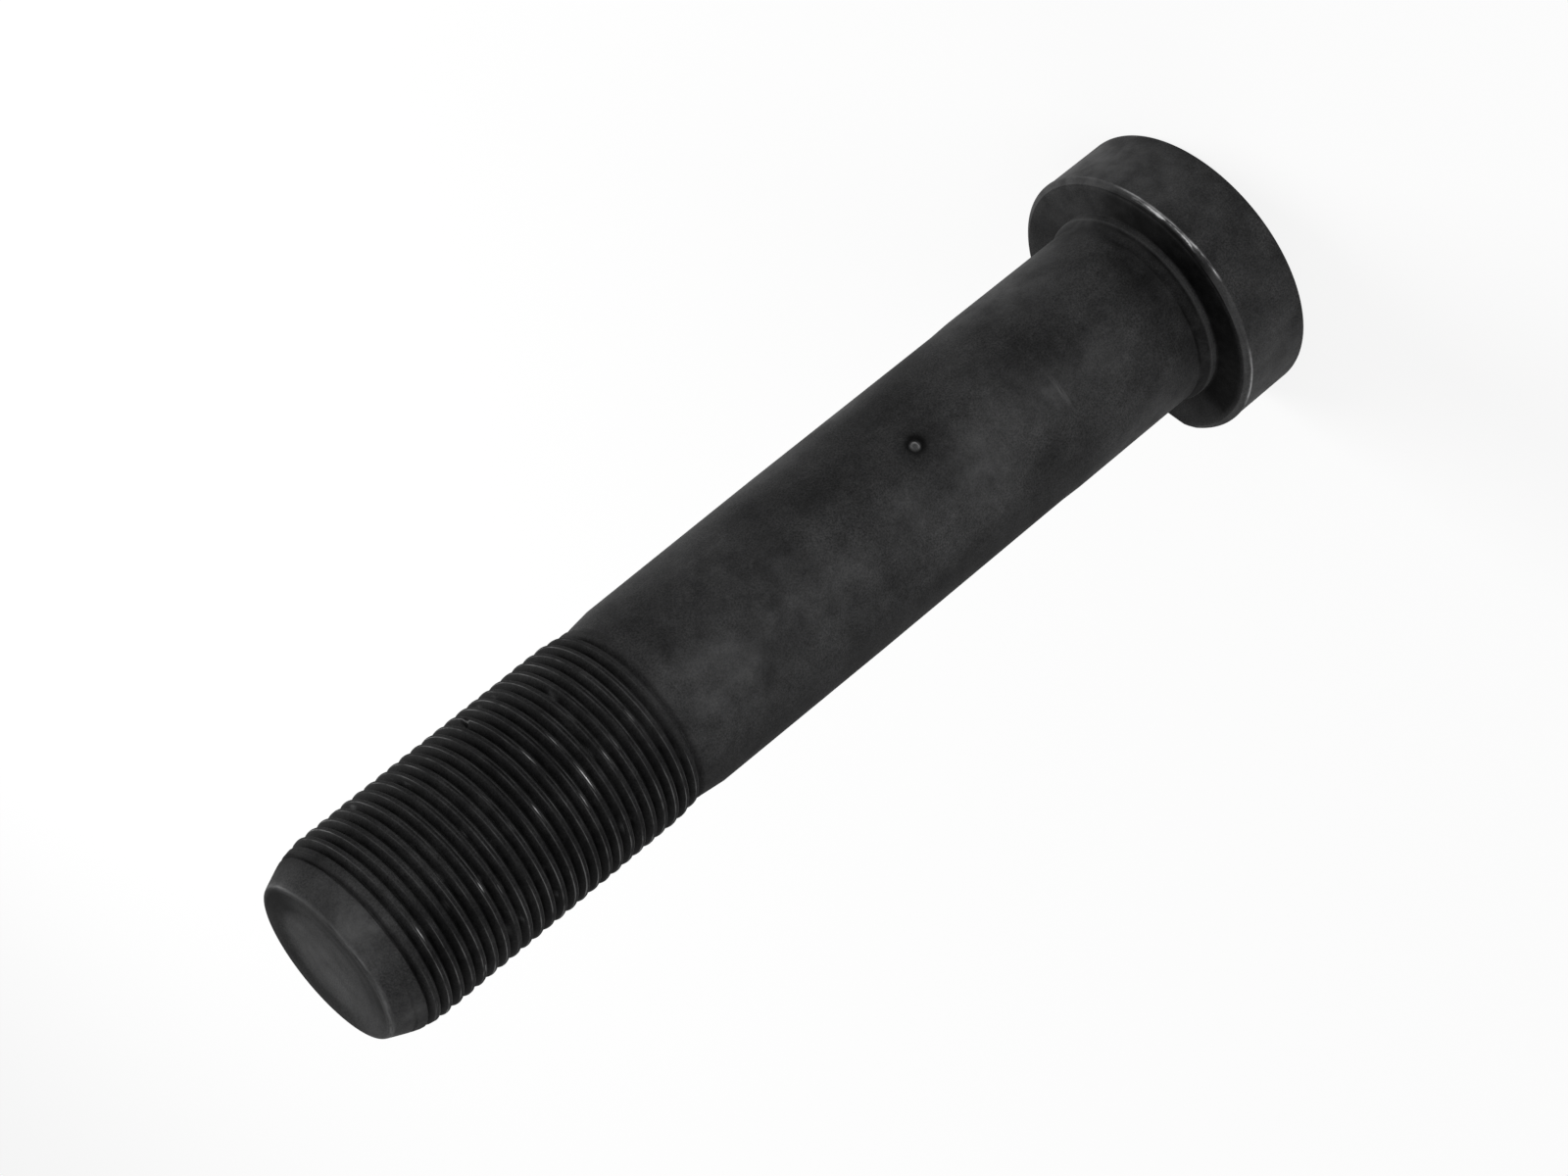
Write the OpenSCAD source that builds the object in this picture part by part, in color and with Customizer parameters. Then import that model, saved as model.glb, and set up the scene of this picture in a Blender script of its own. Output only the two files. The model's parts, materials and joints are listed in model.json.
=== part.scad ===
// Wheel stud with a D-shaped head, a plain shank and a rolled metric fine thread.
// The origin is the centre of the head's outer face, +Z runs along the axis to the
// threaded end, and +X points out of the flat on the head. Millimetres.

/* [Overall] */
// Length from the head's outer face to the threaded end
stud_length = 124.6; // [105:0.1:180]

/* [Head] */
// Diameter of the head
head_d = 32.2; // [29:0.1:44]
// Thickness of the head, from its outer face to the seat
head_h = 9.2; // [6:0.1:16]
// Distance from the axis to the flat on the head
flat_distance = 13.1; // [12.1:0.1:14]
// Radius round the edge of the outer face
head_edge_r = 0.35; // [0.2:0.05:1.5]
// Width of the chamfer round the seat, along the radius
seat_chamfer_w = 0.65; // [0.3:0.05:1.5]
// Height of the chamfer round the seat, along the axis
seat_chamfer_h = 0.55; // [0.3:0.05:1.5]

/* [Collar under the head] */
// Diameter of the collar that stands on the seat
collar_d = 23.2; // [22.8:0.1:24]
// Height of the collar above the seat
collar_h = 0.7; // [0.4:0.05:1.5]
// Radius of the hollow fillet between the collar and the shank
neck_r = 3; // [1.6:0.1:4]

/* [Shank] */
// Diameter of the slightly thicker length beside the head, which the hub grips
grip_d = 22.2; // [22.1:0.05:22.6]
// Distance from the seat to the end of that length
grip_length = 19.4; // [10:0.1:24]
// Length of the gentle shoulder from there down to the plain shank
step_length = 2.5; // [0.5:0.1:4]
// Diameter of the plain shank
shank_d = 22; // [21.8:0.05:22.05]
// Length over which the shank tapers slightly towards the thread
taper_length = 23; // [5:0.5:30]
// Diameter of the shank's end beside the thread
shank_end_d = 21.7; // [21.4:0.05:21.8]
// Diameter of the narrow end of the cone between the shank and the thread
cone_d = 21; // [20.8:0.05:21.3]
// Length of that cone
cone_length = 3; // [2:0.1:6]

/* [Thread] */
// Diameter over the crests
thread_d = 21.9; // [21.7:0.05:22]
// Pitch of the single right-hand start
pitch = 1.5; // [1.25:0.25:2]
// Depth of the groove below the crests
groove_depth = 0.92; // [0.6:0.02:1]
// Width of the crest, along the axis
crest_w = 0.35; // [0.2:0.05:0.4]
// Width of the groove's bottom, along the axis
root_w = 0.25; // [0.15:0.05:0.35]
// Distance from the threaded end to the cone
thread_length = 40.6; // [30:0.1:60]
// Length over which the groove gets shallow and the crests sink, beside the cone
fade_length = 4; // [2:0.5:8]
// Length over which the crests rise, beside the lead cone
lead_in = 2.2; // [1:0.1:5]
// Direction round the axis in which the thread's lower end lies
start_angle = 220; // [0:1:359]
// Segments in one turn
turn_segments = 40; // [24:4:48]

/* [Threaded end] */
// Diameter of the end face
tip_d = 18.2; // [17:0.1:19]
// Radius round the edge of the end face
tip_edge_r = 0.5; // [0.2:0.1:0.8]
// Length of the lead cone, from the end face to the first groove
tip_length = 3.3; // [2.6:0.1:6]
// Diameter of the lead cone at the first groove
lead_d = 20.8; // [20.4:0.05:20.9]
// Diameter of the shallow dish in the end face
dish_d = 15.4; // [10:0.1:15.6]
// Depth of the dish
dish_depth = 0.2; // [0.1:0.05:0.5]

/* [Hidden] */
$fn = 96;
head_r = head_d / 2;
grip_r = grip_d / 2;
thread_r = thread_d / 2;
groove_r = thread_r - groove_depth;
cone_r = cone_d / 2;
lead_r = lead_d / 2;
seat_z = head_h;
cone_z = stud_length - thread_length;
lead_z = stud_length - tip_length;
// Distance by which cuts and buried ends reach past the faces that they cross
over = 0.3;
// Depth by which the crests start below the edges of the cone and the lead cone
sink = 0.05;
// The threaded solid starts inside the cone and ends inside the lead cone,
// and stubs of the plain solids reach into it
thread_low = cone_z - pitch - over;
thread_high = lead_z + pitch + over;
stub_r = groove_r - over / 2;
stub_length = 2 * pitch;
// Heights of one profile's points above its step: groove, groove, crest, crest
flank_w = (pitch - crest_w - root_w) / 2;
offsets = [0, root_w, root_w + flank_w, root_w + flank_w + crest_w];
steps = ceil(turn_segments * (thread_high - offsets[3] - thread_low) / pitch);
// Radius along the axis at the crests, and at the bottom of the groove
crest_line = [[thread_low, stub_r], [cone_z, cone_r - sink], [cone_z + fade_length, thread_r],
              [lead_z - lead_in, thread_r], [lead_z, lead_r - sink], [thread_high, tip_d / 2 - over]];
groove_line = [[thread_low, stub_r], [cone_z, cone_r - over], [cone_z + fade_length, groove_r],
               [lead_z, groove_r], [thread_high, tip_d / 2 - over]];

// Place of point j of the profile at a step up the helix
function thread_point(step, j) =
    let (angle = start_angle + 360 * step / turn_segments,
         z = thread_low + pitch * step / turn_segments + offsets[j],
         r = lookup(z, j < 2 ? groove_line : crest_line))
    [r * cos(angle), r * sin(angle), z];

// Number of a point, and of the point above it, which for the last one is a turn further on
function number(step, j) = 4 * step + j;
function above(step, j) = j < 3 ? number(step, j + 1) : number(step + turn_segments, 0);

// Triangles from an apex to each side of a closed loop of points
function fan(apex, loop) =
    [for (k = [0 : len(loop) - 1]) [apex, loop[k], loop[(k + 1) % len(loop)]]];

// Threaded length as one solid: the profile swept up the helix, closed by a fan at each end
module thread() {
    low_centre = number(steps + 1, 0);
    high_centre = low_centre + 1;
    low_loop = concat([for (i = [0 : turn_segments]) number(i, 0)], [3, 2, 1]);
    high_loop = concat([for (j = [0 : 2]) number(steps, j)],
                       [for (i = [0 : turn_segments]) number(steps - i, 3)]);
    points = concat([for (i = [0 : steps], j = [0 : 3]) thread_point(i, j)],
                    [[0, 0, thread_low + pitch / 2], [0, 0, thread_high - pitch / 2]]);
    sides = [for (i = [0 : steps - 1], j = [0 : 3])
        if (j < 3 || i < steps - turn_segments)
            each [[number(i, j), above(i, j), above(i + 1, j)],
                  [number(i, j), above(i + 1, j), number(i + 1, j)]]];
    polyhedron(points, concat(sides, fan(low_centre, low_loop), fan(high_centre, high_loop)));
}

// Half section of the head, collar, shank, cone and the stub inside the thread
module body_section() {
    collar_r = collar_d / 2;
    collar_z = seat_z + collar_h;
    neck_h = sqrt(pow(neck_r, 2) - pow(neck_r - collar_r + grip_r, 2));
    grip_z = seat_z + grip_length;
    shank_z = cone_z - cone_length;
    polygon([[0, 0], [head_r - head_edge_r, 0], [head_r, head_edge_r],
             [head_r, seat_z - seat_chamfer_h], [head_r - seat_chamfer_w, seat_z],
             [collar_r, seat_z], [collar_r, collar_z], [grip_r, collar_z],
             [grip_r, grip_z], [shank_d / 2, grip_z + step_length],
             [shank_d / 2, shank_z - taper_length], [shank_end_d / 2, shank_z],
             [cone_r, cone_z], [stub_r, cone_z], [stub_r, cone_z + stub_length],
             [0, cone_z + stub_length]]);
    translate([head_r - head_edge_r, head_edge_r])
        circle(head_edge_r);
    difference() {
        translate([0, seat_z])
            square([collar_r, collar_h + neck_h]);
        translate([grip_r + neck_r, collar_z + neck_h])
            circle(neck_r);
    }
}

// Half section of the lead cone, with a rounded edge and a dished end face
module tip_section() {
    lean = atan((lead_r - tip_d / 2) / tip_length);
    edge_x = tip_d / 2 - tip_edge_r * tan(45 - lean / 2);
    edge_z = stud_length - tip_edge_r;
    difference() {
        union() {
            polygon([[0, lead_z - stub_length], [stub_r, lead_z - stub_length], [stub_r, lead_z],
                     [lead_r, lead_z],
                     [edge_x + tip_edge_r * cos(lean), edge_z + tip_edge_r * sin(lean)],
                     [edge_x, stud_length], [0, stud_length]]);
            translate([edge_x, edge_z])
                circle(tip_edge_r);
        }
        polygon([[0, stud_length - dish_depth], [dish_d / 2, stud_length],
                 [dish_d / 2, stud_length + over], [0, stud_length + over]]);
    }
}

module wheel_stud() {
    color("dimgray") {
        difference() {
            rotate_extrude() body_section();
            translate([flat_distance, -head_r, -over])
                cube([head_r, head_d, seat_z + 2 * over]);
        }
        thread();
        rotate_extrude() tip_section();
    }
}

wheel_stud();
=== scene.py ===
import json
import math

import bpy
import numpy as np
from mathutils import Matrix, Vector


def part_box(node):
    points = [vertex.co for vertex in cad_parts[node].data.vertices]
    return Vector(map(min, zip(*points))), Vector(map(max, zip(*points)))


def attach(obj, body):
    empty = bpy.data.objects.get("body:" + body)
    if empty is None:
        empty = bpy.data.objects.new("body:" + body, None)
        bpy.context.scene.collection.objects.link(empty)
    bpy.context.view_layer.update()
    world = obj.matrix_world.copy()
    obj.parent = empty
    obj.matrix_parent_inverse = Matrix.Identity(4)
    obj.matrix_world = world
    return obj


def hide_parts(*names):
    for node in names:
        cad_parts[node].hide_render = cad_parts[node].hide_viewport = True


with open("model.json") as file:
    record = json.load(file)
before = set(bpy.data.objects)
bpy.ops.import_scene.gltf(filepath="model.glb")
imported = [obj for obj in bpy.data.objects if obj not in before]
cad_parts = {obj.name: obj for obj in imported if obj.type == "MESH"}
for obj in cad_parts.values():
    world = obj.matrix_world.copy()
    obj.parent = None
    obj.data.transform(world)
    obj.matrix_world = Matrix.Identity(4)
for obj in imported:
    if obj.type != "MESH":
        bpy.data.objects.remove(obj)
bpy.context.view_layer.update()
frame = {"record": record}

# A black phosphated steel wheel stud that stands on its head, in the frame of the solids:
# the axis is Z, the head's outer face lies at z = 0 and the flat on the head faces +X.
# Lengths below are in millimetres and angles in degrees, unless a name says otherwise.

MM = 0.001
STUD = "wheel_stud"
MOUNTS = {m["name"]: m for m in frame["record"]["mounts"]}


def box_mm(corner, axis):
    """One coordinate of the solid's box, in millimetres."""
    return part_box(STUD)[corner][axis] / MM


# Sizes that the solid gives
LENGTH = box_mm(1, 2)
HEAD_R = -box_mm(0, 0)
FLAT_X = box_mm(1, 0)
SEAT_Z = MOUNTS["seat"]["pos_m"][2] / MM
GRIP_R = MOUNTS["shank"]["dims"]["r_mm"]
CREST_R = MOUNTS["thread"]["dims"]["r_mm"]

# Head: rounding of the outer face's edge, lip at the rim, chamfer round the seat
HEAD_EDGE = 0.35
HEAD_LIP = 0.07
FLAT_EDGE = 0.22
CORNER_BLEND = 0.25
CHAMFER_W = 0.65
CHAMFER_H = 0.55
RIM_ROUND = 0.14

# Collar and the hollow fillet that joins it to the shank
COLLAR_R = 11.6
COLLAR_H = 0.7
COLLAR_ROUND = 0.3
NECK_R = 3.0

# Shank: the thicker length beside the head, the shoulder down from it, and the taper
GRIP_H = 19.4
STEP_H = 2.5
SHANK_R = 11.0
TAPER_H = 23.0
END_R = 10.85

# Thread; what is named FROM_TIP is measured from the threaded end
PITCH = 1.5
GROOVE = 0.92
CREST_POWER = 2.4
CREST_UNEVEN = 0.05
ROOT_W = 0.18
CREST_ANGLE = 63.3
CREST_FROM_TIP = 4.68
THREAD_FROM_TIP = 40.6
CONE_R = 10.5
CONE_H = 3.0
FADE = 3.6

# Lead cone and dished end face
TIP_R = 9.1
TIP_EDGE = 0.5
LEAD_R = 10.4
LEAD_H = 3.3
LEAD_IN = 2.2
DISH_R = 7.7
DISH_DEPTH = 0.2

# Dimple on the shank: direction round the axis and height, radius, depth, and the rise of
# its rim as a share of the depth
DIMPLE = (167.9, 46.0)
DIMPLE_R = 1.12
DIMPLE_DEPTH = 0.17
DIMPLE_RIM = 0.16
# Large nick in one crest: direction and height, half sizes round and along the axis, depth,
# and how dark the painted shade in it is
NICK = (216.7, 100.05)
NICK_SIZE = (0.42, 0.4)
NICK_DEPTH = 0.6
NICK_SHADE = 0.9
# Bare metal along the ridge round the end face: strength, directions and soft length
TIP_RIDGE = 0.12
TIP_RIDGE_SIDE = (90, 150, 30)
# Small dents on the crests: how many, their least and greatest size round the axis and
# depth, and their size along the axis
DENTS = 14
DENT_SIZE = (0.3, 0.8)
DENT_H = 0.3
DENT_DEPTH = (0.02, 0.06)
# Small bare specks on the crests: how many, and their least and greatest length and strength
SPECKS = 70
SPECK_SIZE = (0.3, 0.7)
SPECK_STRENGTH = (0.05, 0.25)
# Size of all bare spots along the axis
SPOT_H = 0.25
# Bright spots on the crests: direction, height, length round the axis, strength
SPOTS = [(133.6, 118.5, 0.6, 1.8), (132.6, 111.1, 0.4, 1.2), (124.7, 109.4, 0.45, 0.9),
         (87.2, 113.8, 0.5, 1.0), (165.4, 96.3, 0.8, 0.9), (142.4, 96.1, 1.0, 2.0),
         (168.2, 99.3, 0.7, 1.1), (145.6, 102.2, 0.5, 1.0), (143.2, 93.2, 0.6, 0.9),
         (146.6, 91.6, 0.5, 0.8), (133.2, 97.6, 0.5, 0.9), (152.0, 88.9, 0.5, 0.6)]
# Painted highlight as an arc on the shoulder: direction and height, and its size round and
# along the axis
ARC = (141.5, 29.1)
ARC_SIZE = (1.9, 0.38)
# Patches of painted highlight on the shank and head, painted shade where the amount is below 0:
# direction, height, reach round and along the axis, and how pale the coat is there
LIGHT_PATCHES = [(139, 78.5, 4.6, 7.5, 1.0), (140, 63, 4.0, 6.0, 0.6), (141, 51.5, 3.2, 3.2, 0.8),
           (137, 41.5, 3.8, 4.2, 1.3), (143, 31, 3.2, 4.5, 0.8), (142, 23, 3.0, 4.0, 0.6),
           (143.5, 30.2, 1.8, 1.1, 0.5), (172, 68, 5.0, 5.0, 0.3), (172, 35, 6.0, 4.0, 0.3),
           (205, 74, 5.0, 6.0, 0.35), (223, 56.5, 3.5, 3.5, 1.0), (229, 19.5, 4.4, 7.0, 1.1),
           (204, 23.5, 3.2, 5.0, 1.0), (205, 42.5, 3.0, 3.5, -0.35),
           (230, 45.8, 2.2, 2.2, 1.4), (219, 29, 3.0, 4.0, 0.7),
           (84, 19, 3.0, 5.0, 0.6), (226, 5.5, 8.0, 5.0, 2.2), (88, 5, 5.0, 5.0, 0.9),
           (173, 55, 5.5, 5.5, -0.35), (178, 27, 5.0, 4.0, -0.25), (167, 13.6, 5.0, 1.7, -0.6),
           (115, 13.4, 1.6, 1.2, -0.4), (225, 37, 4.0, 3.5, -0.25), (115, 31, 3.2, 6.0, -0.3),
           (152, 122.9, 4.4, 2.2, 1.6), (176, 122.8, 3.5, 2.0, 0.9), (91, 122.6, 3.0, 2.0, 0.9),
           (121, 122.8, 2.5, 2.0, -0.25), (238, 122.4, 4.5, 1.6, -0.7)]
# Side of the shank with painted shade: directions and soft length, share, heights
SHADED_SIDE = (61, 78, 30)
SIDE_SHADE = 0.5
SIDE_SHADE_LINE = [(24, 0), (35, 1), (84, 1), (86, 0)]

# Painted highlight on the end face: its direction and distance from the axis, and its half sizes
END_FACE_TURN = 331.5
END_PATCH = (1.3, 3.4, 6.6)
END_PALE = 0.6
# Ring of painted shade round that patch: where it starts, its share, and its darkest and palest
# sides
END_RING_R = 5.2
END_DARK = 0.52
END_DARKER = (225, 255, 25)
END_PALER = (45, 75, 25)
# Stretches of the rim of the seat, as directions and soft length: bright lines of bare metal on
# the chamfer's middle and edge, the first with a painted glint at its brightest part, a worn
# band, a band of painted highlight, and two bands of painted shade
MIDDLE_LINE = (156, 182, 4)
MIDDLE_GLINT = (156, 171, 4)
EDGE_LINE = (151, 191, 5)
CORNER_LINES = [(0.8, (141, 155, 3)), (0.6, (81, 102, 8))]
WORN_BAND = (150, 188, 5)
PALE_BAND = (70, 140, 15)
DARK_BAND = (135, 195, 12)
SHADED_BAND = (200, 290, 10)
# Side of the seat that lies in the dark
SEAT_DARK = (65, 198, 9)

# Painted highlights along the crests: how bright they are, and sides where they are brighter:
# gain, directions and soft length
CREST_SHINE = 0.6
SHINE_SIDES = [(0.4, (40, 135, 20)), (1.2, (75, 108, 12)), (0.7, (208, 240, 12))]
# Side where the crests show a fold, darkened there with painted shade, and the length over which
# it ends before the lead cone
FOLD_SIDE = (142, 182, 16)
FOLD_END = 5
# Share of the patches of painted light that is left on the seat and collar
SEAT_PALE = 0.35

# Columns round the axis, and distance between rows along the thread
COLUMNS = 180
THREAD_ROW = 0.12
# Rows of the head's outer face, as shares of its radius, and of the middle of the dish
FACE_SHARES = [0.2, 0.4, 0.6, 0.75, 0.88, 0.96]
DISH_ROWS = [5.6, 4.4, 3.0, 1.5, 0.7]
# Radius on the end face outside which its edge is rubbed and carries a painted highlight
END_RIM_R = 8.6
SEED = 7

# Colours of the coat; of rubbed coat, which also gives the painted highlights; and of the
# metal where it is worn through
COAT_DARK = (0.0225, 0.0225, 0.0229)
COAT_PALE = (0.0455, 0.0455, 0.046)
RUBBED_AND_SHEEN = (0.11, 0.11, 0.111)
BARE = (0.46, 0.46, 0.465)
# Noises of the coat: scale per metre, detail and roughness; streaks run round the axis
CLOUD = (85.0, 4.0, 0.6)
BLOTCH = (320.0, 4.0, 0.6)
MOTTLE = (900.0, 3.0, 0.6)
GRAIN = (5200.0, 2.0, 0.7)
STREAK = (190.0, 5.0, 0.65)
STREAK_SQUEEZE = (1, 1, 12)
# Relief of the grain, the mottle and the seam along a crest: strength, distance in metres
GRAIN_RELIEF = (0.35, 0.00003)
MOTTLE_RELIEF = (0.3, 0.00008)
SEAM_RELIEF = (0.5, 0.00005)
# Shine: least and greatest roughness, how much wear smooths it and painted shade roughens it
ROUGH = (0.56, 0.7)
WEAR_SMOOTHS = 0.28
SHADE_ROUGHENS = 0.22
IOR = 1.5
SPECULAR = 0.04

# Floor: half its side in metres, its colour in soft light, and its colour and glow when seen
FLOOR_HALF = 3.0
FLOOR_PLAIN = (0.8, 0.8, 0.8, 1)
FLOOR_LIT = (0.18, 0.18, 0.18, 1)
FLOOR_GLOW = 0.84
# Strength of the surroundings in soft light, and when seen
SKY_SOFT = 0.3
SKY_SEEN = 0.97
# Lamps: name, direction round the axis, distance from it and height in metres, watts
LAMPS = [("side", 128, 0.72, 0.25, 2.2), ("back_left", 285, 0.62, 0.34, 3.6),
         ("back_right", 25, 0.6, 0.5, 0.35)]
LAMP_SIZE = 0.4
# Camera: place, line of sight, direction to the right of the picture, lens and sensor
CAMERA_PLACE = (-313.346, 169.705, 226.458)
CAMERA_LOOK = (0.79845, -0.43329, -0.41801)
CAMERA_RIGHT = (0.01567, 0.70902, -0.70501)
CAMERA_LENS = 88.36
CAMERA_SENSOR = 36.0


def lookup(z, line):
    """Value at z on a line of straight stretches, given as points (z, value)."""
    return np.interp(z, [p[0] for p in line], [p[1] for p in line])


def bump(value, middle, half, power=2):
    """1 where a value is at the middle, falling smoothly to 0 on both sides."""
    return np.exp(-(((value - middle) / half) ** power))


def spread(low, high, count, spots=()):
    """Places from low to high, crowded round each spot (centre, half width, gain)."""
    fine = np.linspace(low, high, 6001)
    density = np.ones_like(fine)
    for centre, half, gain in spots:
        density += gain * bump(fine, centre, half, 4)
    share = np.concatenate([[0], np.cumsum((density[1:] + density[:-1]) / 2)])
    return np.interp(np.linspace(0, share[-1], count), share, fine)


def turned(angle):
    """Angle brought between -180 and 180."""
    return (angle + 180) % 360 - 180


def window(angle, start, end, soft):
    """1 between two directions round the axis, falling to 0 over a soft length outside."""
    middle = (start + end) / 2
    outside = np.abs(turned(angle - middle)) - abs(end - start) / 2
    return np.clip(1 - outside / soft, 0, 1)


def arc(centre_r, centre_z, radius, start, end, count):
    """Points (r, z) on a circle in the half section, angles from the outward direction."""
    a = np.radians(np.linspace(start, end, count))
    return np.stack([centre_r + radius * np.cos(a), centre_z + radius * np.sin(a)], 1)


def line(r0, z0, r1, z1, count):
    """Points (r, z) from one end of a straight stretch to the other."""
    return np.stack([np.linspace(r0, r1, count), np.linspace(z0, z1, count)], 1)


def flat_limit(z):
    """Distance of the flat from the axis at height z, with its two long edges rounded."""
    near = np.minimum(np.clip(z, 0, FLAT_EDGE), np.clip(SEAT_Z - z, 0, FLAT_EDGE))
    return FLAT_X - FLAT_EDGE + np.sqrt(FLAT_EDGE**2 - (FLAT_EDGE - near) ** 2)


def with_flat(r, z, angle):
    """Radius r brought down to the flat where that is nearer, with a rounded corner."""
    cos = np.cos(np.radians(angle))
    flat = np.where(cos > 0.2, flat_limit(z) / np.maximum(cos, 0.2), 99.0)
    gap = np.clip(0.5 + 0.5 * (flat - r) / CORNER_BLEND, 0, 1)
    return flat * (1 - gap) + r * gap - CORNER_BLEND * gap * (1 - gap)


def head_rows(angle):
    """Radius and height of the rows from the outer face's centre to the seat's inner edge."""
    side_r = HEAD_R - HEAD_LIP
    edge = arc(side_r - HEAD_EDGE, HEAD_EDGE, HEAD_EDGE, -90, 0, 8)
    rim_z = SEAT_Z - CHAMFER_H
    slope = math.degrees(math.atan2(CHAMFER_H, CHAMFER_W))
    low = arc(HEAD_R - RIM_ROUND, rim_z - 0.4 * RIM_ROUND, RIM_ROUND, 0, 90 - slope, 5)
    inner = HEAD_R - CHAMFER_W
    high = arc(inner - 0.5 * RIM_ROUND, SEAT_Z - RIM_ROUND, RIM_ROUND, 90 - slope, 90, 4)
    between = line(*low[-1], *high[0], 6)[1:-1]
    side = line(side_r, HEAD_EDGE + 0.4, side_r, rim_z - 0.9, 12)
    lip = line(side_r + 0.3 * HEAD_LIP, rim_z - 0.5, HEAD_R, rim_z - 0.2, 3)
    outer = np.vstack([edge, side, lip, low, between, high])
    r = with_flat(outer[:, :1], outer[:, 1:], angle[None])
    z = np.repeat(outer[:, 1:], len(angle), 1)
    face = np.array(FACE_SHARES)[:, None] * r[:1]
    seat = np.linspace(1, 0, 14)[1:-1, None] * (r[-1:] - COLLAR_R) + COLLAR_R
    return (np.vstack([face, r, seat]),
            np.vstack([np.zeros_like(face), z, np.full_like(seat, SEAT_Z)]))


def neck_line():
    """Half section of the collar and of the hollow fillet up to the shank."""
    top = SEAT_Z + COLLAR_H
    reach = NECK_R - (COLLAR_R - GRIP_R)
    rise = math.sqrt(NECK_R**2 - reach**2)
    lean = math.degrees(math.atan2(rise, reach))
    low = COLLAR_ROUND * math.tan(math.radians(lean / 2))
    return np.vstack([
        line(COLLAR_R, SEAT_Z, COLLAR_R, top - low - 0.06, 4),
        arc(COLLAR_R - COLLAR_ROUND, top - low, COLLAR_ROUND, 0, lean, 5),
        arc(GRIP_R + NECK_R, top + rise, NECK_R, 180 + lean - 2.5, 180, 12)])


# Heights of the thread's lower end, the lead cone, the shoulder, and the shank's end
CONE_Z = LENGTH - THREAD_FROM_TIP
LEAD_Z = LENGTH - LEAD_H
STEP_Z = SEAT_Z + GRIP_H
SHANK_Z = CONE_Z - CONE_H
# Outline over the crests, and depth of the groove below it, along the axis
CREST_LINE = [(STEP_Z, GRIP_R), (STEP_Z + STEP_H, SHANK_R), (SHANK_Z - TAPER_H, SHANK_R),
              (SHANK_Z, END_R), (CONE_Z, CONE_R), (CONE_Z + FADE, CREST_R),
              (LEAD_Z - LEAD_IN, CREST_R), (LEAD_Z, LEAD_R + 0.1),
              (LENGTH - 0.75 * LEAD_H, LEAD_R - 0.2), (LENGTH, TIP_R)]
GROOVE_LINE = [(CONE_Z - 0.5, 0), (CONE_Z + 1.2, 0.75 * GROOVE), (CONE_Z + FADE, GROOVE)]

# Along the axis: how rubbed the coat is, with painted highlights on the collar's rounded edge,
# above the fillet and round the tip's edge; and the painted shade in the seat's corner, the
# hollow fillet and the thread
NECK_Z = neck_line()[-1, 1]
RUB_AND_SHEEN_LINE = [(SEAT_Z + 0.15, 0), (SEAT_Z + 0.3, 0.26), (SEAT_Z + COLLAR_H, 0.26),
            (SEAT_Z + COLLAR_H + 0.2, 0), (NECK_Z - 0.12, 0), (NECK_Z + 0.08, 0.15),
            (NECK_Z + 0.3, 0), (LENGTH - 0.6, 0), (LENGTH - 0.3, 0.55), (LENGTH - 0.1, 0.7),
            (LENGTH, 0.2)]
SHADE_LINE = [(SEAT_Z, 0.9), (SEAT_Z + 0.15, 0), (SEAT_Z + COLLAR_H, 0),
             (SEAT_Z + COLLAR_H + 0.25, 1), (NECK_Z - 0.4, 0.95), (NECK_Z + 0.45, 0),
             (CONE_Z - 0.5, 0), (CONE_Z + 2.5, 1), (LEAD_Z - 0.6, 1), (LEAD_Z + 0.2, 0.7),
             (LEAD_Z + 1.4, 0)]
# Share of the thread's full height, and how much less painted shade the crests take than the
# grooves
FULL_LINE = [(CONE_Z, 0), (CONE_Z + FADE, 1), (LEAD_Z - LEAD_IN, 1), (LEAD_Z - 0.3, 0)]
CREST_LESS_SHADE = [(CONE_Z, 0.6), (LEAD_Z - 14, 0.6), (LEAD_Z - 4, 0.75), (LEAD_Z - 1, 1)]
# The same round the axis: the crests take the most painted shade at the sides
ROUND_LESS_SHADE = [(60, 0.6), (105, 0.6), (122, 0.55), (140, 0.9), (180, 1.0), (200, 0.5),
               (235, 0.25), (270, 0.8), (360, 0.8)]
# How much of the painted shade in the grooves there is, round the axis
ROUND_SHADE = [(60, 1.0), (130, 1.0), (150, 0.85), (175, 0.8), (240, 0.85), (270, 0.9),
              (360, 0.9)]


def thread_height(angle, z):
    """Share of the thread's height, from 0 at the bottom of the groove to 1 on the crest."""
    crest_z = LENGTH - CREST_FROM_TIP + PITCH * (angle - CREST_ANGLE) / 360
    away = np.abs((z - crest_z + PITCH / 2) % PITCH - PITCH / 2)
    share = np.clip(away / (PITCH / 2 - ROOT_W / 2), 0, 1)
    return 1 - share**CREST_POWER


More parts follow.
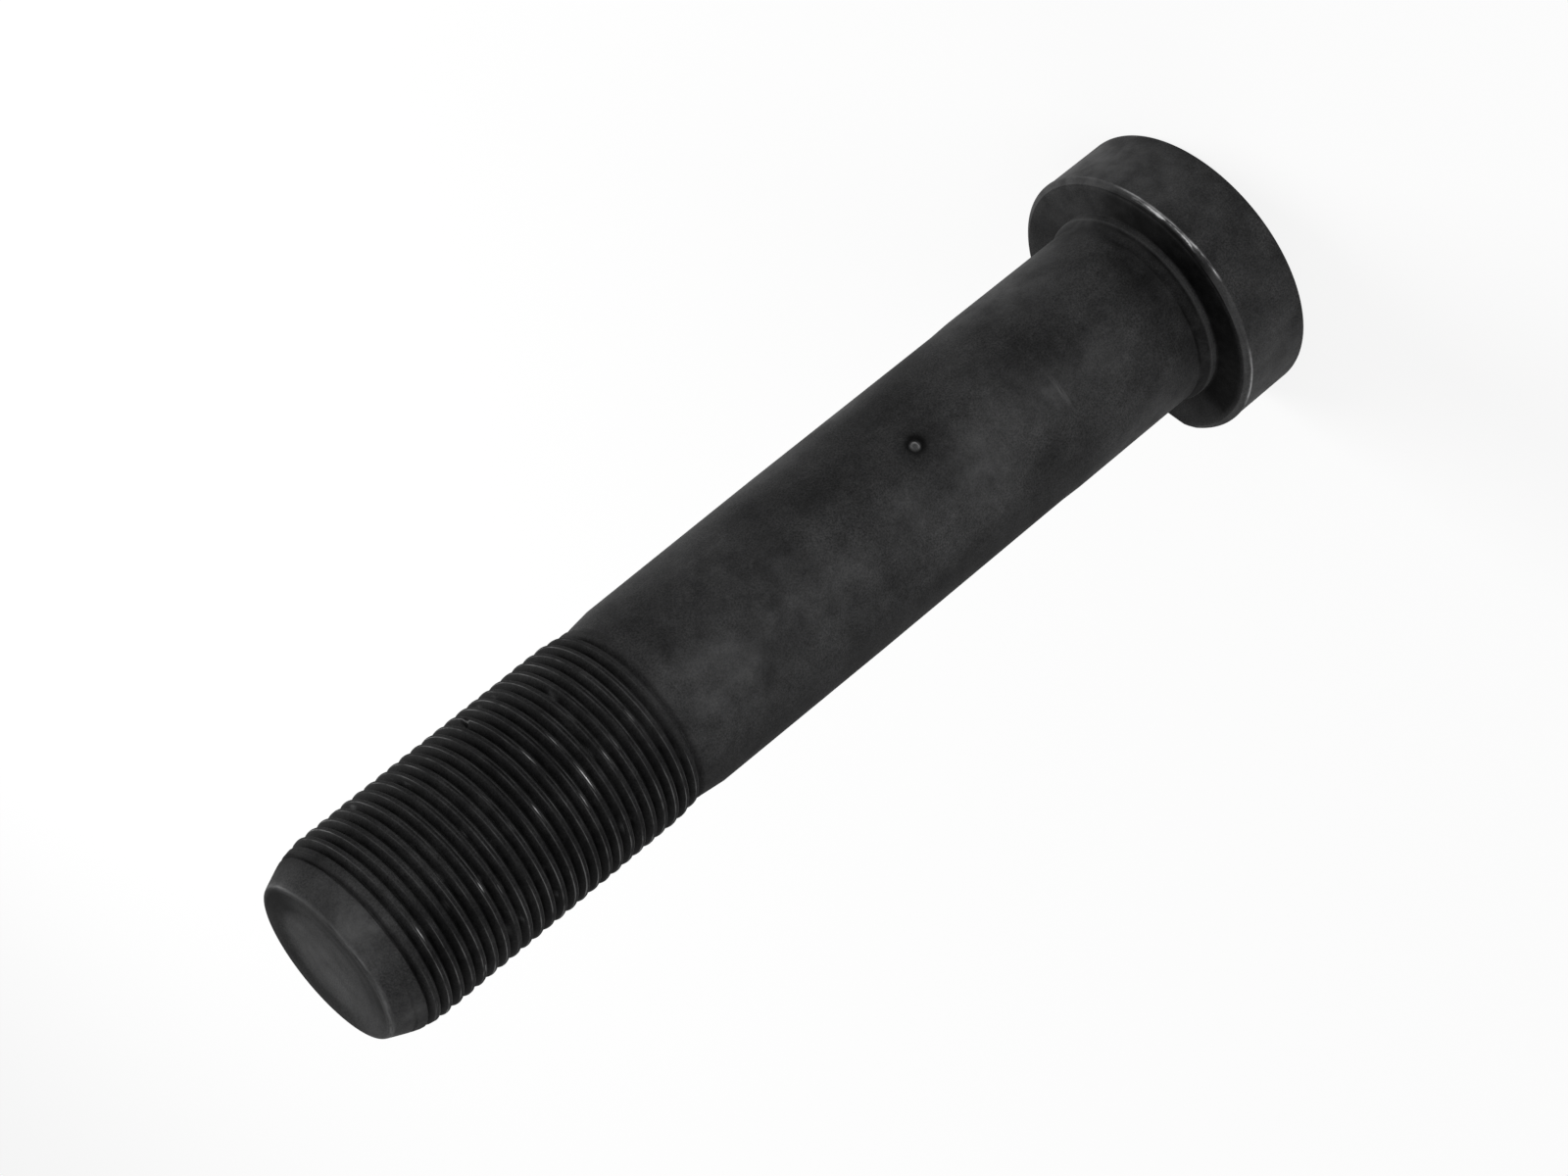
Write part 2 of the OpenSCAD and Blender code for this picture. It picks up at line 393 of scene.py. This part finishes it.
def body_rows():
    """Height and outline radius of the rows from the neck to the rounded edge of the tip."""
    neck = neck_line()
    crowded = [(DIMPLE[1], 1.3, 9), (STEP_Z + STEP_H / 2, 1.6, 3)]
    shank = spread(neck[-1, 1], SHANK_Z, 100, crowded)[1:]
    cone = np.linspace(SHANK_Z, CONE_Z - 0.6, 7)[1:]
    thread = np.arange(CONE_Z - 0.6 + THREAD_ROW, LEAD_Z + 1.4, THREAD_ROW)
    lean = math.degrees(math.atan2(LEAD_R - TIP_R, LEAD_H))
    edge_r = TIP_R - TIP_EDGE * math.tan(math.radians(45 - lean / 2))
    edge = arc(edge_r, LENGTH - TIP_EDGE, TIP_EDGE, lean, 90, 7)
    lead = np.linspace(thread[-1], edge[0, 1], 8)[1:-1]
    z = np.concatenate([shank, cone, thread, lead])
    rows = np.stack([lookup(z, CREST_LINE), z], 1)
    steps = np.concatenate([line(edge_r - 0.25, 0, DISH_R + 0.12, 0, 3)[:, 0],
                            line(DISH_R, 0, DISH_R - 1.2, 0, 7)[:, 0], DISH_ROWS])
    dish = np.stack([steps, np.full(len(steps), LENGTH)], 1)
    dish[:, 1] -= DISH_DEPTH * np.clip(1 - (dish[:, 0] / DISH_R) ** 4, 0, 1)
    return np.vstack([neck, rows, edge, dish])


def away_from(angle, z, place, length, height):
    """Distance from a place (angle, z), in units of its length round the axis and height."""
    across = np.radians(turned(angle - place[0])) * SHANK_R / length
    return np.sqrt(across**2 + ((z - place[1]) / height) ** 2)


def dents(angle, z, rng):
    """Depth of the dimple, of the large nick and of small nicks on the crests."""
    far = away_from(angle, z, DIMPLE, DIMPLE_R, DIMPLE_R)
    depth = DIMPLE_DEPTH * bump(far, 0.62, 0.28)
    depth = depth - DIMPLE_RIM * DIMPLE_DEPTH * bump(far, 1.3, 0.22)
    depth = depth + NICK_DEPTH * bump(away_from(angle, z, NICK, *NICK_SIZE), 0, 1, 4)
    for _ in range(DENTS):
        place = (rng.uniform(0, 360), rng.uniform(CONE_Z + 3, LEAD_Z - 2))
        away = away_from(angle, z, place, rng.uniform(*DENT_SIZE), DENT_H)
        depth = depth + rng.uniform(*DENT_DEPTH) * bump(away, 0, 1, 4)
    return depth


def uneven(angle, z, rng):
    """Smooth random field between -1 and 1, with bumps about 2 mm long round the axis."""
    coarse = rng.uniform(-1, 1, (64, 36))
    a = (angle % 360) / 10 + 0 * z
    b = z / 1.1 + 0 * angle
    i, j = np.floor(a).astype(int), np.floor(b).astype(int)
    u, v = a - i, b - j
    u, v = u * u * (3 - 2 * u), v * v * (3 - 2 * v)

    def at(di, dj):
        return coarse[(j + dj) % 64, (i + di) % 36]

    return (at(0, 0) * (1 - u) + at(1, 0) * u) * (1 - v) + (at(0, 1) * (1 - u) + at(1, 1) * u) * v


def dimple_wear(angle, z):
    """Bare ring with a painted highlight on one side, middle grey from rubbing, and painted shade
    round the dimple; in shares of its radius.
    """
    far = away_from(angle, z, DIMPLE, DIMPLE_R, DIMPLE_R)
    # Painted shade round the dimple, set off to one side of it
    beside = away_from(angle, z, (DIMPLE[0] + 0.8, DIMPLE[1] - 0.2), DIMPLE_R, DIMPLE_R)
    painted_shade = 0.68 * bump(beside, 0.7, 0.4) + 0.3 * bump(beside, 0, 1.5)
    painted_shade = painted_shade * np.clip((far - 0.3) / 0.3, 0, 1)
    # The bare ring is brighter on its upward side: a painted highlight
    upward = np.radians(turned(angle - DIMPLE[0])) * SHANK_R - (z - DIMPLE[1])
    upward = np.clip(upward / (1.4 * DIMPLE_R * np.maximum(far, 0.2)), -1, 1)
    bare = (0.3 + 0.3 * upward) * bump(far, 0.36, 0.1)
    return bare, 0.6 * bump(far, 0, 0.5, 4), painted_shade


def body_wear(angle, z, rng):
    """Bare metal, grey coat from rubbing and from painted highlights, and painted shade along the
    body; the material holds bare at 1.
    """
    bare = np.zeros_like(z)
    spots = SPOTS + [(rng.uniform(0, 360), rng.uniform(CONE_Z + 3, LEAD_Z - 1.5),
                      rng.uniform(*SPECK_SIZE), rng.uniform(*SPECK_STRENGTH))
                     for _ in range(SPECKS)]
    for side, height, length, strength in spots:
        bare += strength * bump(away_from(angle, z, (side, height), length, SPOT_H), 0, 1)
    bare = bare * (lookup(z, FULL_LINE) > 0.2)
    bare += TIP_RIDGE * bump(z, LENGTH - 0.17, 0.13) * window(angle, *TIP_RIDGE_SIDE)
    dimple_bare, dimple_rub, painted_shade = dimple_wear(angle, z)
    bare += dimple_bare
    # The arc on the shoulder is a painted highlight
    rub_and_sheen = dimple_rub + bump(away_from(angle, z, ARC, *ARC_SIZE), 0, 1)
    # Painted shade in the large nick
    painted_shade += NICK_SHADE * bump(away_from(angle, z, NICK, 0.6, 0.5), 0, 1, 4)
    return np.clip(bare, 0, 2), np.clip(rub_and_sheen, 0, 1), painted_shade


def painted_light_patches(angle, z):
    """Painted highlight on the coat at each point, and painted shade where below 0."""
    painted_light = 0 * (z + angle)
    for side, height, around, along, amount in LIGHT_PATCHES:
        painted_light += amount * bump(away_from(angle, z, (side, height), around, along), 0, 1)
    return painted_light


def end_face_patch(angle, r):
    """Painted highlight on the end face, with a ring of painted shade along its edge."""
    a = np.radians(angle - END_FACE_TURN)
    along = (r * np.cos(a) - END_PATCH[0]) / END_PATCH[1]
    across = r * np.sin(a) / END_PATCH[2]
    ring = np.clip((r - END_RING_R) / 1.2, 0, 1)
    ends = 0.4 * window(angle, *END_DARKER) - 0.5 * window(angle, *END_PALER)
    return END_PALE * np.exp(-((along**2 + across**2) ** 2)) - (END_DARK + ends) * ring


def head_wear(angle, r, z):
    """Bare metal, grey coat from rubbing and from painted highlights, and painted shade on the
    head's rim, chamfer and seat, as on the body.
    """
    seat_r = HEAD_R - CHAMFER_W
    climb = np.clip((z - (SEAT_Z - CHAMFER_H)) / CHAMFER_H, -1, 1)
    on_rim = (r > seat_r - 0.15) & (z > 1)
    inner = bump(climb, 0.45, 0.13) * window(angle, *MIDDLE_LINE)
    outer = bump(climb, 0.12, 0.12) * window(angle, *EDGE_LINE)
    corner = sum(share * window(angle, *side) for share, side in CORNER_LINES)
    edge = bump(climb, 0.02, 0.14) * (corner + 0.08)
    # The middle line takes a painted glint at its brightest part
    inner = inner * (1.6 + 2.6 * window(angle, *MIDDLE_GLINT))
    bare = np.where(on_rim, np.clip(inner + 0.5 * outer + edge, 0, 4), 0)
    worn = 0.6 * np.clip(climb * 5, 0, 1) * np.clip((0.55 - climb) * 8, 0, 1)
    # A band of painted highlight on the chamfer, and a worn band
    band = 0.4 * np.clip(climb * 5, 0, 1) * window(angle, *PALE_BAND)
    band = np.maximum(band, worn * window(angle, *WORN_BAND))
    rub_and_sheen = np.where(on_rim & (z < SEAT_Z - 0.01), band, 0)
    # Painted shade on the seat round the collar, deepest on its dark side
    near = np.clip((seat_r + 0.1 - r) / 0.8, 0, 1)
    painted_shade = near * (0.35 + 0.65 * window(angle, *SEAT_DARK))
    painted_shade = np.where((z > SEAT_Z - 0.02) & (r < seat_r + 0.1), painted_shade, 0)
    # Painted shade in two bands on the chamfer
    shade = 0.9 * window(angle, *DARK_BAND) * np.clip((climb - 0.55) * 8, 0, 1)
    shade = np.maximum(shade, 0.25 * window(angle, *SHADED_BAND) * (climb > 0))
    return bare, rub_and_sheen, painted_shade + np.where(on_rim, shade, 0)


def crest_shine(angle, z, height):
    """How bright the painted highlights along the crests are."""
    shine = CREST_SHINE + sum(gain * window(angle, *side) for gain, side in SHINE_SIDES)
    return shine * np.clip(height * 3 - 2, 0, 1) * lookup(z, FULL_LINE)


def hollow_shade(angle, z, height):
    """Painted shade in the hollow fillet and the grooves, and on one side of the shank."""
    less_shade = lookup(z, CREST_LESS_SHADE) * lookup(angle % 360, ROUND_LESS_SHADE)
    wavy = 0.25 * np.sin(np.radians(angle * 5 + 60)) + 0.2 * np.sin(np.radians(angle * 13))
    wavy = np.where(z < NECK_Z + 1.5, wavy * np.clip((z - NECK_Z + 0.8) / 0.5, 0, 1), 0)
    dark = lookup(z + wavy, SHADE_LINE) * (1 - less_shade * height**0.6)
    dark = dark * np.where(z > CONE_Z, lookup(angle % 360, ROUND_SHADE), 1)
    return dark + SIDE_SHADE * window(angle, *SHADED_SIDE) * lookup(z, SIDE_SHADE_LINE)


def stud_grid():
    """Radius, height and surface values of every point, row by row and column by column."""
    rng = np.random.default_rng(SEED)
    corner = math.degrees(math.acos(FLAT_X / HEAD_R))
    crowded = [(corner, 1.6, 3), (-corner, 1.6, 3), (turned(DIMPLE[0]), 7.0, 4)]
    angle = spread(-180, 180, COLUMNS + 1, crowded)[:-1]
    around = angle[None]
    head_r, head_z = head_rows(angle)
    body = body_rows()
    z = np.repeat(body[:, 1:], len(angle), 1)
    r = np.repeat(body[:, :1], len(angle), 1)
    on_side = (body[:, 0] > TIP_R)[:, None]
    height = thread_height(around, z)
    full = lookup(z, FULL_LINE)
    shallow = r - lookup(z, GROOVE_LINE) * (1 - height)
    deep = np.minimum(r, CREST_R - GROOVE * (1 - height))
    cut = np.where(z > CONE_Z + FADE, deep, shallow)
    cut = cut - CREST_UNEVEN * full * height * (1 + uneven(around, z, rng)) / 2
    r = np.where(on_side, cut - dents(around, z, rng), r)

    bare, rub_and_sheen, painted_shade = body_wear(around, z, rng)
    coated = on_side | (r > END_RIM_R)
    # The rub along the axis carries painted highlights on the collar, above the fillet and round
    # the tip
    rub_and_sheen = np.clip(rub_and_sheen + np.where(coated, lookup(z, RUB_AND_SHEEN_LINE), 0), 0, 1)
    # Painted shade in the hollow fillet, the grooves and on one side of the shank
    painted_shade = painted_shade + np.where(on_side, hollow_shade(around, z, height), 0)
    # A dark line along the fold on the crests: painted shade
    fold = full * window(around, *FOLD_SIDE) * np.clip((LEAD_Z - FOLD_END - z) / FOLD_END, 0, 1)
    head_bare, head_rub_and_sheen, head_shade = head_wear(around, head_r, head_z)
    # Patches of painted highlight and painted shade, with the end face's own
    painted_light = painted_light_patches(around, np.vstack([head_z, z]))
    painted_light[:len(FACE_SHARES)] = 0
    painted_light[np.vstack([head_z, 0 * z]) > SEAT_Z - 0.02] *= SEAT_PALE
    last = len(head_r) + int(on_side.sum())
    painted_light[last:] = end_face_patch(around, r[last - len(head_r):])
    painted_shade = np.vstack([head_shade, painted_shade]) + np.clip(-painted_light, 0, 1)
    none = np.zeros_like(head_r)
    values = {"crest": np.vstack([none, crest_shine(around, z, height)]),
              "fold": np.vstack([none, fold]),
              "bare": np.vstack([head_bare, bare * coated]),
              "rub_and_sheen": np.vstack([head_rub_and_sheen, rub_and_sheen]), "painted_shade": np.clip(painted_shade, 0, 1),
              "painted_light": np.clip(painted_light, 0, 2.5)}
    return angle, np.vstack([head_r, r]), np.vstack([head_z, z]), values


def build_stud():
    """The whole stud as one closed mesh: a grid of rows and columns with a pole at each end."""
    angle, r, z, values = stud_grid()
    rows, columns = r.shape
    a = np.radians(angle)[None]
    points = np.stack([r * np.cos(a), r * np.sin(a), z], -1).reshape(-1, 3)
    low, high = rows * columns, rows * columns + 1
    points = np.vstack([points, [[0, 0, 0], [0, 0, LENGTH - DISH_DEPTH]]]) * MM
    index = np.arange(rows * columns).reshape(rows, columns)
    after = np.roll(index, -1, axis=1)
    quads = np.stack([index[:-1], after[:-1], after[1:], index[1:]], -1).reshape(-1, 4)
    faces = [tuple(q) for q in quads.tolist()]
    faces += [(low, int(q), int(p)) for p, q in zip(index[0], after[0])]
    faces += [(high, int(p), int(q)) for p, q in zip(index[-1], after[-1])]
    mesh = bpy.data.meshes.new("stud_forging")
    mesh.from_pydata(points.tolist(), [], faces)
    for name, value in values.items():
        mesh.attributes.new(name, "FLOAT", "POINT").data.foreach_set(
            "value", np.concatenate([value.ravel(), [0, 0]]).astype(np.float32))
    mesh.shade_smooth()
    mesh.set_sharp_from_angle(angle=math.radians(38))
    mesh.validate()
    piece = bpy.data.objects.new("stud_forging", mesh)
    bpy.context.collection.objects.link(piece)
    return piece


def node_tree(material):
    """Empty node tree of a material, and a function that adds a node with settings."""
    material.use_nodes = True
    tree = material.node_tree
    tree.nodes.clear()

    def add(kind, inputs=None, **settings):
        node = tree.nodes.new(kind)
        for name, value in settings.items():
            setattr(node, name, value)
        for name, value in (inputs or {}).items():
            if isinstance(value, bpy.types.NodeSocket):
                tree.links.new(value, node.inputs[name])
            else:
                node.inputs[name].default_value = value
        return node

    return tree, add


def noise(add, vector, scale, detail, roughness):
    """Output of a noise texture at a scale per metre."""
    return add("ShaderNodeTexNoise", {"Vector": vector, "Scale": scale, "Detail": detail,
                                      "Roughness": roughness}).outputs["Fac"]


def remap(add, value, low, high, to_low, to_high):
    """Value moved from one range to another, kept inside it."""
    return add("ShaderNodeMapRange", {"Value": value, "From Min": low, "From Max": high,
                                      "To Min": to_low, "To Max": to_high}).outputs["Result"]


def math_node(add, operation, a, b=0.0):
    """Result of one operation on two values."""
    return add("ShaderNodeMath", {0: a, 1: b}, operation=operation).outputs[0]


def attribute(add, name):
    """Value that a point of the mesh carries under a name."""
    return add("ShaderNodeAttribute", attribute_name=name).outputs["Fac"]


def blend_colour(add, share, a, b):
    """Colour between a and b; a plain colour is given as three numbers."""
    a, b = [c if isinstance(c, bpy.types.NodeSocket) else (*c, 1) for c in (a, b)]
    return add("ShaderNodeMix", {"Factor": share, "A": a, "B": b},
               data_type="RGBA").outputs["Result"]


def relief(add, height, strength, distance, below=None):
    """Normal of a surface that a value raises, on top of another such normal."""
    inputs = {"Height": height, "Strength": strength, "Distance": distance}
    if below is not None:
        inputs["Normal"] = below
    return add("ShaderNodeBump", inputs).outputs["Normal"]


def crest_distance(add, place):
    """Distance in millimetres from the nearest crest's middle, and 1 on its upper side."""
    parts = add("ShaderNodeSeparateXYZ", {"Vector": place}).outputs
    turn = math_node(add, "ARCTAN2", parts["Y"], parts["X"])
    climb = math_node(add, "MULTIPLY", parts["Z"], 1 / (PITCH * MM))
    first = (LENGTH - CREST_FROM_TIP) / PITCH - CREST_ANGLE / 360
    turns = add("ShaderNodeMath", {0: turn, 1: -1 / (2 * math.pi), 2: 0.5 - first},
                operation="MULTIPLY_ADD").outputs[0]
    share = math_node(add, "FRACT", math_node(add, "ADD", climb, turns))
    middle = math_node(add, "SUBTRACT", share, 0.5)
    away = math_node(add, "MULTIPLY", math_node(add, "ABSOLUTE", middle), PITCH)
    return away, math_node(add, "GREATER_THAN", middle, 0.0)


def black_phosphate():
    """Black phosphate coat: cloudy, with a fine grain, grey from rubbing, bright where worn, with
    painted shade and painted highlights.
    """
    material = bpy.data.materials.new("black_phosphate")
    tree, add = node_tree(material)
    place = add("ShaderNodeTexCoord").outputs["Object"]
    squeezed = add("ShaderNodeVectorMath", {0: place, 1: STREAK_SQUEEZE}, operation="MULTIPLY")
    cloud = noise(add, place, *CLOUD)
    blotch = noise(add, place, *BLOTCH)
    mottle = noise(add, place, *MOTTLE)
    grain = noise(add, place, *GRAIN)
    streak = noise(add, squeezed.outputs[0], *STREAK)

    # The coat, with painted shade in the hollows and along the folds on the crests
    clouds = math_node(add, "ADD", cloud, math_node(add, "MULTIPLY", blotch, 0.45))
    tone = blend_colour(add, remap(add, clouds, 0.56, 0.9, 0.0, 1.0), COAT_DARK, COAT_PALE)
    crest, upper = crest_distance(add, place)
    fold = remap(add, crest, 0.05, 0.13, 0.8, 0.0)
    fold = math_node(add, "MULTIPLY", fold, attribute(add, "fold"))
    fold = math_node(add, "MULTIPLY", fold, remap(add, streak, 0.35, 0.55, 0.3, 1.0))
    # Painted shade darkens the coat here
    painted_shade = remap(add, mottle, 0.35, 0.65, 1.0, 0.86)
    painted_shade = math_node(add, "MULTIPLY", attribute(add, "painted_shade"), painted_shade)
    painted_shade = math_node(add, "MAXIMUM", painted_shade, fold)
    dark = remap(add, painted_shade, 0.0, 1.0, 1.0, 0.05)
    speck = math_node(add, "MULTIPLY", remap(add, grain, 0.3, 0.75, 0.5, 1.6), dark)
    speck = math_node(add, "MULTIPLY", speck, remap(add, mottle, 0.3, 0.7, 0.85, 1.15))
    coat = add("ShaderNodeVectorMath", {0: tone, "Scale": speck}, operation="SCALE").outputs[0]

    # Painted highlights as fine lines beside the middle of the crests, stretches that are rubbed
    # and that carry painted highlights, patches of painted light, bare metal
    off_line = math_node(add, "ABSOLUTE", math_node(add, "SUBTRACT", crest, 0.2))
    glint = remap(add, off_line, 0.015, 0.07, 1.0, 0.0)
    glint = math_node(add, "MULTIPLY", glint, attribute(add, "crest"))
    both = remap(add, attribute(add, "fold"), 0.0, 1.0, 0.25, 1.0)
    glint = math_node(add, "MULTIPLY", glint, math_node(add, "MAXIMUM", upper, both))
    glint = math_node(add, "MULTIPLY", glint, remap(add, streak, 0.38, 0.6, 0.08, 1.1))
    glint = math_node(add, "MULTIPLY", glint, remap(add, blotch, 0.38, 0.58, 0.25, 1.0))
    broken = remap(add, streak, 0.35, 0.6, 0.25, 1.0)
    broken = math_node(add, "MULTIPLY", attribute(add, "rub_and_sheen"), broken)
    flecks = remap(add, blotch, 0.35, 0.65, 0.12, 0.42)
    painted_sheen = math_node(add, "MULTIPLY", attribute(add, "painted_light"), flecks)
    rub_and_glint = math_node(add, "MAXIMUM", math_node(add, "MAXIMUM", glint, broken), painted_sheen)
    dash = math_node(add, "SUBTRACT", remap(add, crest, 0.02, 0.09, 2.0, 1.0),
                     remap(add, attribute(add, "crest"), 0.0, 0.1, 0.0, 1.0))
    dash = math_node(add, "MULTIPLY", dash, remap(add, streak, 0.4, 0.52, 0.05, 1.0))
    bare = math_node(add, "MULTIPLY", attribute(add, "bare"), dash)
    bare = math_node(add, "MULTIPLY", bare, remap(add, mottle, 0.35, 0.6, 0.55, 1.0))
    bare = math_node(add, "MINIMUM", bare, 1.0)
    colour = blend_colour(add, bare, blend_colour(add, rub_and_glint, coat, RUBBED_AND_SHEEN), BARE)

    # Relief of the coat and of the rolled crests, and the shine
    seam = remap(add, crest, 0.02, 0.1, 0.0, 1.0)
    seam = math_node(add, "MULTIPLY", seam, attribute(add, "crest"))
    normal = relief(add, grain, *GRAIN_RELIEF)
    normal = relief(add, mottle, *MOTTLE_RELIEF, below=normal)
    normal = relief(add, seam, *SEAM_RELIEF, below=normal)
    rough = remap(add, mottle, 0.3, 0.7, *ROUGH)
    worn = math_node(add, "MAXIMUM", math_node(add, "MAXIMUM", glint, broken), bare)
    rough = math_node(add, "SUBTRACT", rough, math_node(add, "MULTIPLY", worn, WEAR_SMOOTHS))
    rough = math_node(add, "ADD", rough, math_node(add, "MULTIPLY", painted_shade, SHADE_ROUGHENS))
    shader = add("ShaderNodeBsdfPrincipled", {
        "Base Color": colour, "Metallic": bare, "Roughness": rough, "Normal": normal,
        "IOR": IOR, "Specular IOR Level": SPECULAR})
    output = add("ShaderNodeOutputMaterial", {"Surface": shader.outputs["BSDF"]})
    output.is_active_output = True
    return material


def round_axis(angle, distance, height):
    """Place in metres from an angle round the axis, a distance from it and a height."""
    a = math.radians(angle)
    return Vector((distance * math.cos(a), distance * math.sin(a), height))


def seen_plainly(add):
    """1 for rays from the camera and for reflected and refracted ones, 0 for soft light."""
    path = add("ShaderNodeLightPath").outputs
    sharp = math_node(add, "MAXIMUM", path["Is Glossy Ray"], path["Is Transmission Ray"])
    return math_node(add, "MAXIMUM", path["Is Camera Ray"], sharp)


def floor_material():
    """Pale floor: white to the camera and in reflections, and it keeps the object's shadow."""
    material = bpy.data.materials.new("pale_floor")
    tree, add = node_tree(material)
    plain = add("ShaderNodeBsdfDiffuse", {"Color": FLOOR_PLAIN})
    lit = add("ShaderNodeBsdfDiffuse", {"Color": FLOOR_LIT})
    glow = add("ShaderNodeEmission", {"Color": (1, 1, 1, 1), "Strength": FLOOR_GLOW})
    white = add("ShaderNodeAddShader", {0: lit.outputs[0], 1: glow.outputs[0]})
    both = add("ShaderNodeMixShader", {"Fac": seen_plainly(add), 1: plain.outputs[0],
                                       2: white.outputs[0]})
    add("ShaderNodeOutputMaterial", {"Surface": both.outputs[0]})
    return material


def add_floor():
    """Wide floor at the height of the head's outer face."""
    corners = [(-1, -1), (1, -1), (1, 1), (-1, 1)]
    mesh = bpy.data.meshes.new("floor")
    mesh.from_pydata([(FLOOR_HALF * x, FLOOR_HALF * y, 0) for x, y in corners],
                     [], [(0, 1, 2, 3)])
    mesh.materials.append(floor_material())
    floor = bpy.data.objects.new("floor", mesh)
    bpy.context.collection.objects.link(floor)


def add_camera():
    """Camera at the photograph's place: rolled, so that the threaded end points down and left."""
    place = Vector(CAMERA_PLACE) * MM
    forward = Vector(CAMERA_LOOK).normalized()
    right = Vector(CAMERA_RIGHT)
    right = (right - forward * right.dot(forward)).normalized()
    up = right.cross(forward)
    data = bpy.data.cameras.new("camera")
    data.sensor_width = CAMERA_SENSOR
    data.lens = CAMERA_LENS
    data.clip_start = 0.01
    camera = bpy.data.objects.new("camera", data)
    turn = Matrix((right, up, -forward)).transposed()
    camera.matrix_world = Matrix.Translation(place) @ turn.to_4x4()
    bpy.context.collection.objects.link(camera)
    bpy.context.scene.camera = camera


def add_lamp(name, place, target, power):
    """Square lamp at one place, turned to another; places in metres."""
    data = bpy.data.lights.new(name, "AREA")
    data.size = LAMP_SIZE
    data.energy = power
    lamp = bpy.data.objects.new(name, data)
    lamp.location = place
    lamp.rotation_euler = (target - place).to_track_quat("-Z", "Y").to_euler()
    bpy.context.collection.objects.link(lamp)


def add_world():
    """Soft grey surroundings that look white to the camera and in reflections."""
    world = bpy.data.worlds.new("studio")
    tree, add = node_tree(world)
    strength = remap(add, seen_plainly(add), 0.0, 1.0, SKY_SOFT, SKY_SEEN)
    sky = add("ShaderNodeBackground", {"Color": (1, 1, 1, 1), "Strength": strength})
    add("ShaderNodeOutputWorld", {"Surface": sky.outputs[0]})
    bpy.context.scene.world = world


add_camera()
add_world()
add_floor()
middle = Vector((0, 0, LENGTH * MM / 2))
for lamp_name, side, distance, height, power in LAMPS:
    add_lamp(lamp_name, round_axis(side, distance, height), middle, power)
stud = build_stud()
stud.data.materials.append(black_phosphate())
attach(stud, "root")
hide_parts(STUD)
bpy.context.scene.view_settings.view_transform = "Standard"
